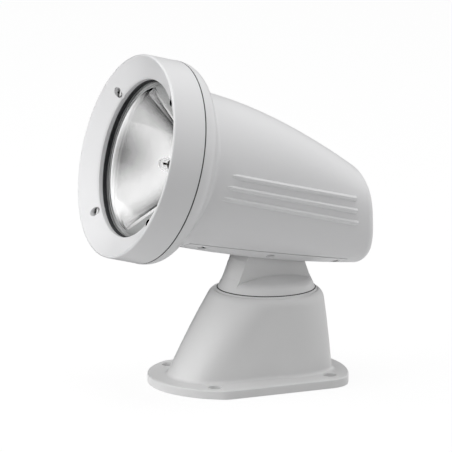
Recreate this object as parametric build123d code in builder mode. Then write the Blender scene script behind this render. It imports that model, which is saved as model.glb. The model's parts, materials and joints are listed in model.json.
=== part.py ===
from build123d import *
import os
from math import acos, atan2, cos, pi, radians, sin, sqrt, tan

# A remote-controlled marine halogen spotlight: a pedestal on a bolted flange, a neck that pans on it,
# and a round lamp head that tilts on the neck's upright blade. Millimetres throughout.
# Origin: middle of the four deck holes on the underside. +Z is up and the lamp looks towards -Y.

# Clearances
RUN_FIT = 0.05          # radial, shaft in a bush
SEAT_FIT = 0.02         # radial, a piece pressed or dropped into its seat
FACE_GAP = 0.3          # between pieces that lie against each other without a fit
MOVE_GAP = 1.2          # around what turns or swings past a neighbour
EPS = 0.5               # overshoot of a cut past the face it leaves

# Flange and deck holes
FLANGE_T = 7.0
FLANGE_HALF_W = 58.5
FLANGE_FRONT = 81.2     # from the origin to the nose of the flange
FLANGE_NOSE_R = 66.0
FLANGE_NOSE_CORNER_R = 14.0
FLANGE_ROUND = 1.2      # along the flange's upper edge
FLANGE_REAR = 77.0
FLANGE_REAR_R = 90.0
FLANGE_CORNER_R = 22.0
HOLE_X = 87.0           # spacing across
HOLE_Y = 99.0           # spacing fore and aft
HOLE_R = 2.75
HEAD_BORE_R = 5.5       # counterbore for the deck screw's head
HEAD_BORE_T = 3.6
PAD_T = 2.0             # deck gasket, flush in a groove of the underside
PAD_MARGIN = 4.0
PAD_FOOT_GAP = 1.0

# Pedestal
PAN_Y = 15.0            # pan axis behind the origin
PED_H = 73.3
PED_RIM_Z = 71.4        # the shoulder is cut level here, round the neck
PED_WALL = 3.2
FOOT_HALF_W = 38.0
FOOT_FRONT = 81.5       # from the pan axis
FOOT_REAR = 49.0
FOOT_SQUARE = 2.9       # squareness of the foot's front half, 2 is an ellipse
FOOT_SQUARE_REAR = 3.4
FOOT_FILLET = 3.0
TOP_R = 44.0
TOP_FRONT = 42.3        # reach of the top towards the front
SHOULDER_R = 10.0
RECESS_R = 40.0
RECESS_Z = 68.5
SEAL_TOP_Z = 72.0
ROOF_Z = 64.0
BOSS_R = 22.0
BOSS_Z = 46.0
BUSH_OUT_R = 17.0
BUSH_FLANGE_R = 20.0
BUSH_FLANGE_T = 1.6
WASHER_R = 28.0
WASHER_GAP = 1.0
PILLARS = ((31.0, 12.0), (-31.0, 12.0), (21.0, -44.0), (-21.0, -44.0))
PILLAR_R = 4.5
CHASSIS_Z = 33.0
CHASSIS_T = 2.0

# Neck
NECK_FOOT_R = 38.6
NECK_FOOT_Z = 69.6
NECK_SEAM_Z = 72.3
DOME_TOP_Z = 85.8
DOME_SHOULDER_Z = 80.2  # where the foot's steep side turns into the dome
DOME_ROUND = 8.0
DOME_START = 0.22       # slope of the dome at its shoulder
BLADE_T = 30.0
BLADE_NECK_R = 28.6     # half the blade's fore and aft length where it enters the head
BLADE_NECK_Z = 97.3
BLADE_WAIST_R = 33.6    # and where its flare begins
BLADE_WAIST_Z = 83.0
TILT_Z = 126.0
LUG_R = 14.0
BLADE_TOP_R = 16.0      # where the blade runs into the lug
BLADE_TOP_Z = 122.0
SPIGOT_R = 14.0
SPIGOT_Z = 35.0         # lower end of the spigot
WIRE_R = 6.0
PAN_GEAR_Z = 39.0
GEAR_T = 5.0
RETAINER_R = 18.0
RETAINER_T = 3.0

# Gears
PRESSURE_ANGLE = 20.0
ADDENDUM = 0.9          # tooth above and below the pitch circle, in modules
DEDENDUM = 1.2
TOOTH_FOOT = 0.95       # share of the root radius at which a tooth is rooted
SECTOR_MARGIN = 0.4     # teeth's widths of plain rim at the sector's ends
GEAR_PLAY = 0.12        # thinning of each tooth at the pitch circle
PAN_MODULE = 1.25
PAN_TEETH = 36
PAN_PINION_TEETH = 12
TILT_MODULE = 1.5
TILT_TEETH = 36
TILT_PINION_TEETH = 12
SECTOR_TEETH = 8
MOTOR_R = 13.5
MOTOR_L = 26.0
SHAFT_R = 2.0
SHAFT_CLEAR = 1.0       # radial, where a shaft passes a plate
MOTOR_EDGE_R = 1.5
MOTOR_BOSS_L = 2.0
MOTOR_BOSS_R = 4.5

# Lamp head, placed by the centre of its front rim
HEAD_TILT = 14.8        # nose up at rest
RIM_Y = -103.9
RIM_Z = 186.3
TILT_DOWN = 30.0        # travel from rest, nose down
TILT_UP = 10.0
RIM_R = 80.0
RIM_AHEAD = 2.1         # front edge of the bezel, ahead of the rim plane
LIP_R = 62.1
LIP_EDGE = 1.1          # bevel at the inner edge of the face
LIP_B = 7.7             # how far the face slopes in
BEZEL_B = 24.7
BEZEL_WALL = 3.2
SKIRT_R = RIM_R - BEZEL_WALL    # inside of the bezel's skirt
SKIRT_GAP = 0.4         # between the skirt and the housing's seat
SEAL_LIP = 0.1          # the seal stands this much further in than the skirt
SEAL_T = 1.0
BEZEL_SCREW_R = 67.0
BEZEL_SCREW_TURN = 40.1
BEZEL_HEAD_R = 3.7
BEZEL_HEAD_T = 2.0
BEZEL_DRIVE_R = 2.3
HEAD_SEAT_B = 8.0       # where the bezel screws' heads seat
BEZEL_BOSS_R = 5.2
BOSS_END_B = 19.0
HEAD_BOSS_R = 5.0       # bosses in the housing that take the bezel screws
HEAD_BOSS_L = 14.0
BEZEL_FACE_T = 3.0
SEAT_WALL = 2.3
RIM_ROUND = 1.5
ARC_MID = 1 - sqrt(0.5) # middle of a quarter circle, in radii from its corner

# Lens stack behind the bezel
LENS_B = 13.8
LENS_T = 3.5
LENS_R = 62.6
LENS_CHAMFER = 0.5
GASKET_OUT_R = 64.6
GASKET_IN_R = 60.9
GASKET_B = 10.9
SEAT_B = 19.3           # front of the housing's inner seat
SEAT_T = 3.0
SEAT_R = 58.5
MIRROR_FLANGE_R = 64.4
MOUTH_R = 56.5
FOCAL = 20.0
MIRROR_WALL = 2.4       # at the apex, thinner towards the mouth
CHORD = 49.0            # distance of the mouth's four straight edges from the lamp axis
CHORD_TURN = 63.0
BULB_HOLE_R = 8.8
BULB_COLLAR_R = 12.5
BULB_COLLAR_L = 4.4     # behind the apex
COLLAR_ROOT = 3.0       # how deep the collar is rooted in the bowl
BULB_GLASS_R = 5.5
BULB_GLASS_L = 26.0
GLASS_WALL = 0.8
BULB_FLANGE_T = 1.5
BULB_FLANGE_R = 11.8
BASE_PROUD = 1.0        # of the base inside the bowl
BASE_FIT = 0.1
TIP_FLAT = 0.4          # radius of the flat left at the glass's tip
BULB_REAR_R = 6.0
BULB_REAR_L = 9.0
COIL_L = 5.6
COIL_R = 0.7
POST_WIRE_R = 0.35
CLIP_R = 10.6
CLIP_WIRE_R = 0.7
CLIP_ARC = 300

# Housing, measured back from the rim along the lamp axis
BODY_B = 36.0
BODY_END_B = 207.0
BODY_START_B = 45.0
BODY_R = 61.3
TOP_DROP = 40.5
BOTTOM_RISE = 15.7
SIDE_TAPER = 15.5
TOP_POWER = 1.75        # how late the top drops, 1 is a straight line
BOTTOM_POWER = 1.95
SIDE_POWER = 1.1
MID_DROP = 10.0         # fall of the widest line towards the rear
SQUARE_TOP = 0.3        # gain in squareness towards the rear
SQUARE_LOW = 1.3
BODY_SPANS = 5
BODY_OVERRUN = 8.0      # the loft runs this far past the rear face, which then cuts it
REAR_FACE_B = 203.5
REAR_FACE_H = -20.0
REAR_LEAN = 15.0        # upper edge forward
REAR_FILLET = 8.0
HEAD_WALL = 2.8
FLARE_PROUD = 0.2       # above the rim, where the flare leaves the seal
FLARE_OUTLINE = ((34.5, 77.4), (40.0, 70.6), (43.6, 64.6))      # (back, radius) of the flare behind the bezel
FLARE_START = -0.05     # its slope at the seal
FLARE_TAIL_B = 53.5
FLARE_TAIL = -0.12      # its slope where it runs into the body
FLARE_SUNK = 1.2        # below the body at its tail
FLARE_HOLLOW_R = 73.0
FLARE_HOLLOW_B = 30.3
FLARE_NECK_B = 43.2     # where the hollow has drawn in to the body's

# Side ribs
RIB_TOPS = (8.0, -1.2, -10.4)
RIB_REARS = (178.0, 180.5, 183.5)
RIB_H = 4.4
RIB_FRONTS = (60.0, 57.8, 55.8)
RIB_RAMP = 9.0          # length over which a rib rises from the flank
RIB_PROUD = 2.0
RIB_SUNK = 0.5          # below the flank at its very front
RIB_ROOT = 7.0
RIB_CHAMFER = 1.3
RIB_SPANS = 4

# Bottom cover
COVER_B0 = 55.0
COVER_B1 = 189.0
COVER_SEAM_H = -52.0    # height of the parting line at COVER_SEAM_B
COVER_SEAM_B = 85.0
COVER_SLOPE = 5.0
COVER_GAP = 0.35
COVER_SCREW_B = (68.4, 125.0, 183.0)
COVER_SCREW_IN = 7.0    # screw centres in from the parting line's edge
COVER_BOSS_R = 4.5
COVER_BOSS_L = 12.0
BOSS_OVERLAP = 3.0      # below the parting line, cut away with it
SCREW_R = 1.6
SCREW_HEAD_R = 3.2
SCREW_HEAD_T = 1.6
SCREW_CLEAR = 0.2       # radial, round a screw in a through hole
CAP_T = 1.2             # cover material under a screw's head
SLOT_SIDE = 1.6
SLOT_CORNER_R = 3.0
SLOT_STEPS = 80         # heights at which the swinging blade is measured

# Tilt frame inside the head
FRAME_T = 2.0
CHEEK_GAP = 2.4         # between the sector and the cheek beside it
BRIDGE_H = 18.0
BRIDGE_B0 = 118.0
BRIDGE_B1 = 168.0
POST_X = 18.0
POST_B = (125.0, 160.0)
POST_R = 4.0
POST_HOLE_L = 10.0
MOTOR_FACE_X = 12.0
CHEEK_LOW_R = 11.0
CHEEK_EDGE = 6.0        # upright stretch of a cheek below the bridge
BUSH_R = 6.5
TILT_BUSH_FLANGE_T = 1.1
TILT_BUSH_FLANGE_R = 8.2
TILT_BUSH_PROUD = 0.4   # each side of its cheek
CLIP_T = 1.0
AXLE_R = 4.0
AXLE_CHAMFER = 0.6
AXLE_END = 0.8          # axle beyond its clips
CLIP_RIM = 2.6
CLIP_PLAY = 0.1
HUB_R = 12.5
SECTOR_SCREW_R = 9.3    # sector screws from the tilt axis
SECTOR_HEAD_R = 2.6
SECTOR_SHANK_R = 1.5
SECTOR_SCREW_END = 4.0  # their ends, from the middle of the blade
SECTOR_GAP = 1.6        # between the blade's side and the sector
DRIVE_TURN = 50.0       # direction of the tilt pinion from the tilt axis, above straight back

LAMP = Plane(
    origin=(0, RIM_Y, RIM_Z), x_dir=(-1, 0, 0),
    z_dir=(0, cos(radians(HEAD_TILT)), -sin(radians(HEAD_TILT))))
LAMP_AXIS = Axis(LAMP.origin, LAMP.z_dir)
PAN_SIDE = Plane(origin=(0, PAN_Y, 0), x_dir=(1, 0, 0), z_dir=(0, -1, 0))
PAN_AXIS = Axis((0, PAN_Y, 0), (0, 0, 1))

# Tilt axis in lamp terms: back from the rim plane, and height above the lamp axis
TILT_B = (PAN_Y - RIM_Y) * cos(radians(HEAD_TILT)) - (TILT_Z - RIM_Z) * sin(radians(HEAD_TILT))
TILT_H = (PAN_Y - RIM_Y) * sin(radians(HEAD_TILT)) + (TILT_Z - RIM_Z) * cos(radians(HEAD_TILT))

# Gear centres
PAN_CENTRES = PAN_MODULE * (PAN_TEETH + PAN_PINION_TEETH) / 2
TILT_CENTRES = TILT_MODULE * (TILT_TEETH + TILT_PINION_TEETH) / 2
MOTOR_B = TILT_B + TILT_CENTRES * cos(radians(DRIVE_TURN))
MOTOR_H = TILT_H + TILT_CENTRES * sin(radians(DRIVE_TURN))
SECTOR_TURN = DRIVE_TURN + (TILT_DOWN - TILT_UP) / 2
SECTOR_SPOTS = [(SECTOR_SCREW_R * cos(radians(a)), SECTOR_SCREW_R * sin(radians(a)))
                for a in (SECTOR_TURN + 90, SECTOR_TURN - 90)]
GEAR_X = BLADE_T / 2 + SECTOR_GAP
CHEEK_X = GEAR_X + GEAR_T + CHEEK_GAP
CLIP_X = CHEEK_X + FRAME_T + TILT_BUSH_FLANGE_T + CLIP_PLAY
AXLE_L = 2 * (CLIP_X + CLIP_T + AXLE_END)
GASKET_END_B = LENS_B + LENS_T
MIRROR_FLANGE_T = SEAT_B - GASKET_END_B - 2 * SEAT_FIT
APEX_B = GASKET_END_B + MOUTH_R ** 2 / (4 * FOCAL)


def pan(z):
    """Level plane at height z, centred on the pan axis."""
    return Plane(origin=(0, PAN_Y, z), x_dir=(1, 0, 0), z_dir=(0, 0, 1))


def side(x=0.0):
    """Upright plane at x: sketch x runs back along the lamp axis, sketch y is height above it."""
    return Plane(origin=LAMP.origin + Vector(x, 0, 0), x_dir=LAMP.z_dir, z_dir=(1, 0, 0))


def deck(h):
    """Plane at height h above the lamp axis: sketch x is across, sketch y runs back."""
    return Plane(origin=LAMP.origin + LAMP.y_dir * h, x_dir=(1, 0, 0), z_dir=LAMP.y_dir)


def tilt_plane(x, b=TILT_B, h=TILT_H):
    """Upright plane at x, centred on the tilt axis or on another point of the lamp's side view."""
    spot = LAMP.origin + LAMP.z_dir * b + LAMP.y_dir * h
    return Plane(origin=(x, spot.Y, spot.Z), x_dir=LAMP.z_dir, z_dir=(1, 0, 0))


def rounds(plane, spots, radius):
    """Discs of one radius at several places on a plane."""
    with BuildSketch(plane) as face:
        with Locations(*spots):
            Circle(radius)
    return face.sketch


def ring(plane, outer, inner):
    """Flat ring about the plane's centre."""
    with BuildSketch(plane) as face:
        Circle(outer)
        Circle(inner, mode=Mode.SUBTRACT)
    return face.sketch


def profile(plane, *points):
    """Closed straight-sided outline on a plane."""
    with BuildSketch(plane) as face:
        with BuildLine():
            Polyline(*points, close=True)
        make_face()
    return face.sketch


def oval(plane, half_w, up, down, mid=0.0, n_up=2.0, n_down=2.0, count=12):
    """Smooth closed outline: half width, reach above and below a mid line, squareness of each half."""
    points = []
    for i in range(count):
        c, s = cos(2 * pi * i / count), sin(2 * pi * i / count)
        n, reach = (n_up, up) if s >= 0 else (n_down, down)
        points.append((half_w * abs(c) ** (2 / n) * (1 if c >= 0 else -1),
                       mid + reach * abs(s) ** (2 / n) * (1 if s >= 0 else -1)))
    with BuildSketch(plane) as face:
        with BuildLine():
            Spline(*points, periodic=True)
        make_face()
    return face.sketch


def gear(plane, teeth, module, turn, bore, count=None):
    """Involute spur gear face with a tooth at the turn angle, or a sector of count teeth about it."""
    pitch = teeth * module / 2
    base = pitch * cos(radians(PRESSURE_ANGLE))
    tip, root = pitch + ADDENDUM * module, pitch - DEDENDUM * module
    start = max(base, root)
    half = pi / (2 * teeth) - GEAR_PLAY / (2 * pitch) + tan(radians(PRESSURE_ANGLE)) - radians(PRESSURE_ANGLE)
    flank = []
    for i in range(4):
        r = start + (tip - start) * i / 3
        a = half - (sqrt(max(0.0, (r / base) ** 2 - 1)) - acos(min(1.0, base / r)))
        flank.append((r * cos(a), r * sin(a)))
    foot_turn = atan2(flank[0][1], flank[0][0])
    foot = (TOOTH_FOOT * root * cos(foot_turn), TOOTH_FOOT * root * sin(foot_turn))
    other = [(x, -y) for x, y in reversed(flank)]
    with BuildSketch() as tooth:
        with BuildLine():
            Line(foot, flank[0])
            Spline(*flank)
            Line(flank[-1], other[0])
            Spline(*other)
            Polyline(other[-1], (foot[0], -foot[1]), foot)
        make_face()
    step = 360 / teeth
    shown = count or teeth
    with BuildSketch(plane) as face:
        if count:
            Circle(HUB_R)
            with BuildLine():
                span = step * (count + SECTOR_MARGIN)
                arc = CenterArc((0, 0), root, turn - span / 2, span)
                Line((0, 0), arc @ 0)
                Line((0, 0), arc @ 1)
            make_face()
        else:
            Circle(root)
        with PolarLocations(0, shown, start_angle=turn - (step * (count - 1) / 2 if count else 0),
                            angular_range=step * shown):
            add(tooth.sketch)
        Circle(bore, mode=Mode.SUBTRACT)
    return face.sketch


def pinion_turn(line, gear_tooth, gear_teeth, teeth):
    """Angle of a pinion tooth that meshes with a gear whose tooth stands at gear_tooth, seen along line."""
    pitches = (line - gear_tooth) / (360 / gear_teeth)
    return line + 180 + (pitches % 1 - 0.5) * 360 / teeth


def neck_r(z):
    """Fore and aft half length of the neck's blade at height z."""
    stops = ((NECK_SEAM_Z, NECK_FOOT_R), (BLADE_WAIST_Z, BLADE_WAIST_R),
             (BLADE_NECK_Z, BLADE_NECK_R), (BLADE_TOP_Z, BLADE_TOP_R))
    for (z0, r0), (z1, r1) in zip(stops, stops[1:]):
        if z <= z1:
            return r0 + (r1 - r0) * (z - z0) / (z1 - z0)
    return LUG_R


def share(b):
    """How far back along the housing a station lies, 0 at its start and 1 at its end."""
    return max(0.0, (b - BODY_START_B) / (BODY_END_B - BODY_START_B))


def body_low(b):
    """Height of the housing's underside."""
    return -BODY_R + BOTTOM_RISE * share(b) ** BOTTOM_POWER


def seam_h(b):
    """Height of the parting line between housing and bottom cover."""
    return COVER_SEAM_H + (b - COVER_SEAM_B) * tan(radians(COVER_SLOPE))


def station(b):
    """Half width, mid height, reach up, reach down and squareness of the housing's section."""
    s = share(b)
    mid = -MID_DROP * s
    half_w = BODY_R - SIDE_TAPER * s ** SIDE_POWER
    up = BODY_R - TOP_DROP * s ** TOP_POWER - mid
    return half_w, mid, up, mid - body_low(b), 2 + SQUARE_TOP * s, 2 + SQUARE_LOW * s


def body_section(b, inset=0.0):
    """Section of the housing at b, drawn in by a wall."""
    half_w, mid, up, down, n_up, n_down = station(b)
    return oval(LAMP.offset(b), half_w - inset, up - inset, down - inset, mid, n_up, n_down)


def half_width_at(b, h):
    """Half width of the housing at station b and height h."""
    half_w, mid, up, down, n_up, n_down = station(b)
    reach, n = (up, n_up) if h > mid else (down, n_down)
    return half_w * max(0.0, 1 - (abs(h - mid) / reach) ** n) ** (1 / n)


def cover_zone(gap=0.0):
    """Side view of what lies below the parting line, with a gap round it."""
    low = -2 * BODY_R
    b0, b1 = COVER_B0 - gap, COVER_B1 + gap
    return profile(side(), (b0, low), (b0, seam_h(b0) + gap), (b1, seam_h(b1) + gap), (b1, low))


def blade_reach(way, nose):
    """Furthest station the blade reaches in the slot at a nose angle, backwards (1) or forwards (-1)."""
    c, s = cos(radians(nose)), sin(radians(nose))
    reach = []
    for i in range(SLOT_STEPS):
        z = NECK_SEAM_Z + (TILT_Z - NECK_SEAM_Z) * i / SLOT_STEPS
        y = way * neck_r(z)
        b, h = TILT_B + y * c - (z - TILT_Z) * s, TILT_H + y * s + (z - TILT_Z) * c
        if body_low(b) - 1 <= h <= seam_h(b) + 1:
            reach.append(way * b)
    return way * max(reach)


def save(part, name):
    """Write one sub-part under its own name."""
    part.label = name
    export_step(part, f"parts/{name}.step")


os.makedirs("parts", exist_ok=True)


# Pedestal and flange

def flange_outline(inset=0.0):
    """Outline of the flange: a bowed nose and rear, straight sides and round corners."""
    w = FLANGE_HALF_W
    nose_y = FLANGE_NOSE_R - FLANGE_FRONT - sqrt(FLANGE_NOSE_R ** 2 - w ** 2)
    corner_y = FLANGE_REAR - FLANGE_REAR_R + sqrt(FLANGE_REAR_R ** 2 - w ** 2)
    with BuildSketch() as face:
        with BuildLine():
            ThreePointArc((-w, nose_y), (0, -FLANGE_FRONT), (w, nose_y))
            Line((w, nose_y), (w, corner_y))
            ThreePointArc((w, corner_y), (0, FLANGE_REAR), (-w, corner_y))
            Line((-w, corner_y), (-w, nose_y))
        make_face()
        fillet(face.vertices().group_by(Axis.Y)[-1], FLANGE_CORNER_R)
        fillet(face.vertices().group_by(Axis.Y)[0], FLANGE_NOSE_CORNER_R)
        if inset:
            offset(amount=-inset)
    return face.sketch


def pedestal_section(z, inset=0.0):
    """Section of the pedestal: a rounded oblong foot that turns into a circle at the top."""
    s = (z - FLANGE_T) / (PED_H - FLANGE_T)
    front = FOOT_FRONT + (TOP_FRONT - FOOT_FRONT) * s
    rear = FOOT_REAR + (TOP_R - FOOT_REAR) * s
    half_w = FOOT_HALF_W + (TOP_R - FOOT_HALF_W) * s
    n_front = FOOT_SQUARE + (2 - FOOT_SQUARE) * s ** 2
    n_rear = FOOT_SQUARE_REAR + (2 - FOOT_SQUARE_REAR) * s
    return oval(pan(z), half_w - inset, rear - inset, front - inset, 0, n_rear, n_front)


def deck_spots():
    """Centres of the four deck holes."""
    return [(x * HOLE_X / 2, y * HOLE_Y / 2) for x in (-1, 1) for y in (-1, 1)]


def pad_outline():
    """Outline of the deck gasket: inside the flange's edge, round the foot and the deck holes."""
    with BuildSketch() as face:
        add(flange_outline(PAD_MARGIN))
        add(oval(pan(0), FOOT_HALF_W + PAD_FOOT_GAP, FOOT_REAR + PAD_FOOT_GAP, FOOT_FRONT + PAD_FOOT_GAP, 0,
                 FOOT_SQUARE_REAR, FOOT_SQUARE), mode=Mode.SUBTRACT)
        with Locations(*deck_spots()):
            Circle(HEAD_BORE_R, mode=Mode.SUBTRACT)
    return face.sketch


with BuildPart() as pedestal_cavity:
    loft([pedestal_section(z, PED_WALL) for z in (-EPS, ROOF_Z / 3, 2 * ROOF_Z / 3, ROOF_Z)])
    extrude(rounds(pan(BOSS_Z), [(0, 0)], BOSS_R), amount=ROOF_Z, mode=Mode.SUBTRACT)
    extrude(rounds(pan(CHASSIS_Z + CHASSIS_T), PILLARS, PILLAR_R), amount=ROOF_Z, mode=Mode.SUBTRACT)

with BuildPart() as base_housing:
    loft([pedestal_section(z) for z in (FLANGE_T / 2, PED_H / 3, 2 * PED_H / 3, PED_H)])
    fillet(base_housing.edges().group_by(Axis.Z)[-1], SHOULDER_R)
    extrude(flange_outline(), amount=FLANGE_T)
    flange_top = base_housing.faces().filter_by(Plane.XY).group_by(Axis.Z)[1]
    fillet(flange_top.face().outer_wire().edges(), FLANGE_ROUND)
    foot = base_housing.faces().filter_by(Plane.XY).group_by(Axis.Z)[1].face().inner_wires()[0]
    fillet(foot.edges(), FOOT_FILLET)
    add(pedestal_cavity.part, mode=Mode.SUBTRACT)
    extrude(rounds(pan(PED_RIM_Z), [(0, 0)], TOP_R), amount=PED_H, mode=Mode.SUBTRACT)
    extrude(rounds(pan(RECESS_Z), [(0, 0)], RECESS_R), amount=PED_H, mode=Mode.SUBTRACT)
    extrude(rounds(pan(BOSS_Z - EPS), [(0, 0)], BUSH_OUT_R + SEAT_FIT), amount=PED_H, mode=Mode.SUBTRACT)
    extrude(rounds(pan(CHASSIS_Z), PILLARS, SCREW_R), amount=COVER_BOSS_L, mode=Mode.SUBTRACT)
    extrude(pad_outline(), amount=PAD_T, mode=Mode.SUBTRACT)
    with Locations(*[(x, y, FLANGE_T) for x, y in deck_spots()]):
        CounterBoreHole(HOLE_R, HEAD_BORE_R, HEAD_BORE_T)
save(base_housing.part, "base_housing")

with BuildPart() as deck_gasket:
    extrude(pad_outline(), amount=PAD_T - SEAT_FIT)
save(deck_gasket.part, "deck_gasket")

with BuildPart() as neck_seal:
    extrude(ring(pan(RECESS_Z + SEAT_FIT), RECESS_R - SEAT_FIT, NECK_FOOT_R + FACE_GAP),
            amount=SEAL_TOP_Z - RECESS_Z)
save(neck_seal.part, "neck_seal")

with BuildPart() as thrust_washer:
    extrude(ring(pan(RECESS_Z + SEAT_FIT), WASHER_R, BUSH_OUT_R + WASHER_GAP),
            amount=NECK_FOOT_Z - RECESS_Z - 2 * RUN_FIT)
save(thrust_washer.part, "thrust_washer")

with BuildPart() as pan_bush:
    extrude(rounds(pan(BOSS_Z - BUSH_FLANGE_T), [(0, 0)], BUSH_FLANGE_R), amount=BUSH_FLANGE_T - SEAT_FIT)
    extrude(rounds(pan(BOSS_Z - BUSH_FLANGE_T), [(0, 0)], BUSH_OUT_R),
            amount=RECESS_Z - BOSS_Z + BUSH_FLANGE_T)
    extrude(rounds(pan(BOSS_Z - BUSH_FLANGE_T - EPS), [(0, 0)], SPIGOT_R + RUN_FIT), amount=PED_H,
            mode=Mode.SUBTRACT)
save(pan_bush.part, "pan_bush")

# Chassis plate that carries the pan motor
with BuildPart() as chassis_plate:
    with BuildSketch(pan(CHASSIS_Z)) as plate:
        make_hull(rounds(Plane.XY, PILLARS, PILLAR_R).edges())
        Circle(RETAINER_R + MOVE_GAP, mode=Mode.SUBTRACT)
        with Locations((0, -PAN_CENTRES)):
            Circle(SHAFT_R + SHAFT_CLEAR, mode=Mode.SUBTRACT)
        with Locations(*PILLARS):
            Circle(SCREW_R + SCREW_CLEAR, mode=Mode.SUBTRACT)
    extrude(amount=CHASSIS_T - SEAT_FIT)
save(chassis_plate.part, "chassis_plate")


def screws(plane, spots, head_r, head_t, shank_r, length, drive=0.0):
    """Pan head screws that run along the plane's normal from the underside of their heads."""
    with BuildPart() as group:
        extrude(rounds(plane.offset(-head_t), spots, head_r), amount=head_t)
        chamfer(group.edges().filter_by(GeomType.CIRCLE).group_by(SortBy.RADIUS)[-1]
                .sort_by(Axis(plane.origin, plane.z_dir))[:len(spots)], head_t / 3)
        extrude(rounds(plane, spots, shank_r), amount=length)
        if drive:
            with BuildSketch(plane.offset(-head_t)):
                with Locations(*spots):
                    Rectangle(2 * drive, 0.36 * drive)
                    Rectangle(0.36 * drive, 2 * drive)
            extrude(amount=head_t / 2, mode=Mode.SUBTRACT)
    return group.part


save(screws(pan(CHASSIS_Z - SEAT_FIT), PILLARS, SCREW_HEAD_R, SCREW_HEAD_T, SCREW_R - SEAT_FIT,
            COVER_BOSS_L - 1), "chassis_screws")

with BuildPart() as pan_motor:
    with BuildSketch(pan(CHASSIS_Z - SEAT_FIT)):
        with Locations((0, -PAN_CENTRES)):
            Circle(MOTOR_R)
    extrude(amount=-MOTOR_L)
    fillet(pan_motor.edges().group_by(Axis.Z)[0], MOTOR_EDGE_R)
    extrude(rounds(pan(CHASSIS_Z - MOTOR_L), [(0, -PAN_CENTRES)], MOTOR_BOSS_R), amount=-MOTOR_BOSS_L)
    extrude(rounds(pan(CHASSIS_Z - MOTOR_L / 2), [(0, -PAN_CENTRES)], SHAFT_R + RUN_FIT), amount=MOTOR_L,
            mode=Mode.SUBTRACT)
save(pan_motor.part, "pan_motor")

with BuildPart() as pan_pinion:
    extrude(gear(Plane(origin=(0, PAN_Y - PAN_CENTRES, PAN_GEAR_Z)), PAN_PINION_TEETH, PAN_MODULE,
                 pinion_turn(-90, -90, PAN_TEETH, PAN_PINION_TEETH), SHAFT_R / 2), amount=GEAR_T)
    extrude(rounds(pan(CHASSIS_Z - MOTOR_L / 2 + 1), [(0, -PAN_CENTRES)], SHAFT_R),
            amount=PAN_GEAR_Z + GEAR_T - CHASSIS_Z + MOTOR_L / 2)
save(pan_pinion.part, "pan_pinion")

# Neck: a domed foot with an upright blade, on a hollow spigot
with BuildPart() as blade:
    revolve(profile(PAN_SIDE, (0, NECK_SEAM_Z), (NECK_FOOT_R, NECK_SEAM_Z), (BLADE_WAIST_R, BLADE_WAIST_Z),
                    (BLADE_NECK_R, BLADE_NECK_Z), (BLADE_TOP_R, BLADE_TOP_Z), (0, BLADE_TOP_Z)),
            axis=PAN_AXIS)
    with Locations((0, PAN_Y, TILT_Z)):
        Box(BLADE_T, 4 * NECK_FOOT_R, 4 * NECK_FOOT_R, mode=Mode.INTERSECT)
    extrude(rounds(tilt_plane(-BLADE_T / 2), [(0, 0)], LUG_R), amount=BLADE_T)

with BuildPart() as neck:
    with BuildSketch(PAN_SIDE) as dome:
        with BuildLine():
            Line((0, NECK_FOOT_Z), (NECK_FOOT_R, NECK_FOOT_Z))
            Line((NECK_FOOT_R, NECK_FOOT_Z), (NECK_FOOT_R, NECK_SEAM_Z))
            Line((NECK_FOOT_R, NECK_SEAM_Z), (neck_r(DOME_SHOULDER_Z), DOME_SHOULDER_Z))
            Spline((neck_r(DOME_SHOULDER_Z), DOME_SHOULDER_Z), (0, DOME_TOP_Z),
                   tangents=((-1, DOME_START), (-1, 0)))
            Line((0, DOME_TOP_Z), (0, NECK_FOOT_Z))
        make_face()
        fillet(dome.vertices().sort_by_distance((neck_r(DOME_SHOULDER_Z), DOME_SHOULDER_Z))[0], DOME_ROUND)
    revolve(axis=PAN_AXIS)
    add(blade.part)
    extrude(rounds(pan(SPIGOT_Z), [(0, 0)], SPIGOT_R), amount=NECK_SEAM_Z - SPIGOT_Z)
    extrude(rounds(pan(0), [(0, 0)], WIRE_R), amount=TILT_Z - LUG_R, mode=Mode.SUBTRACT)
    extrude(rounds(tilt_plane(-BLADE_T), [(0, 0)], AXLE_R + SEAT_FIT), amount=2 * BLADE_T, mode=Mode.SUBTRACT)
    extrude(rounds(tilt_plane(0), SECTOR_SPOTS, SCREW_R), amount=BLADE_T, mode=Mode.SUBTRACT)
save(neck.part, "neck")

with BuildPart() as pan_gear:
    extrude(gear(pan(PAN_GEAR_Z), PAN_TEETH, PAN_MODULE, -90, SPIGOT_R + SEAT_FIT), amount=GEAR_T)
save(pan_gear.part, "pan_gear")

with BuildPart() as pan_retainer:
    extrude(ring(pan(PAN_GEAR_Z - RETAINER_T), RETAINER_R, SPIGOT_R + SEAT_FIT), amount=RETAINER_T - SEAT_FIT)
save(pan_retainer.part, "pan_retainer")

# Tilt axle and the toothed sector fixed to the blade
with BuildPart() as tilt_axle:
    extrude(rounds(tilt_plane(-AXLE_L / 2), [(0, 0)], AXLE_R), amount=AXLE_L)
    chamfer(tilt_axle.edges(), AXLE_CHAMFER)
save(tilt_axle.part, "tilt_axle")

with BuildPart() as axle_clips:
    for x in (-CLIP_X - CLIP_T, CLIP_X):
        extrude(ring(tilt_plane(x), AXLE_R + CLIP_RIM, AXLE_R + SEAT_FIT), amount=CLIP_T)
save(axle_clips.part, "axle_clips")

with BuildPart() as tilt_sector:
    extrude(gear(tilt_plane(GEAR_X), TILT_TEETH, TILT_MODULE, SECTOR_TURN, AXLE_R + SEAT_FIT, SECTOR_TEETH),
            amount=GEAR_T)
    extrude(ring(tilt_plane(BLADE_T / 2 + SEAT_FIT), HUB_R, AXLE_R + SEAT_FIT), amount=GEAR_X - BLADE_T / 2)
    extrude(rounds(tilt_plane(0), SECTOR_SPOTS, SECTOR_SHANK_R), amount=BLADE_T, mode=Mode.SUBTRACT)
save(tilt_sector.part, "tilt_sector")

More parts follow.
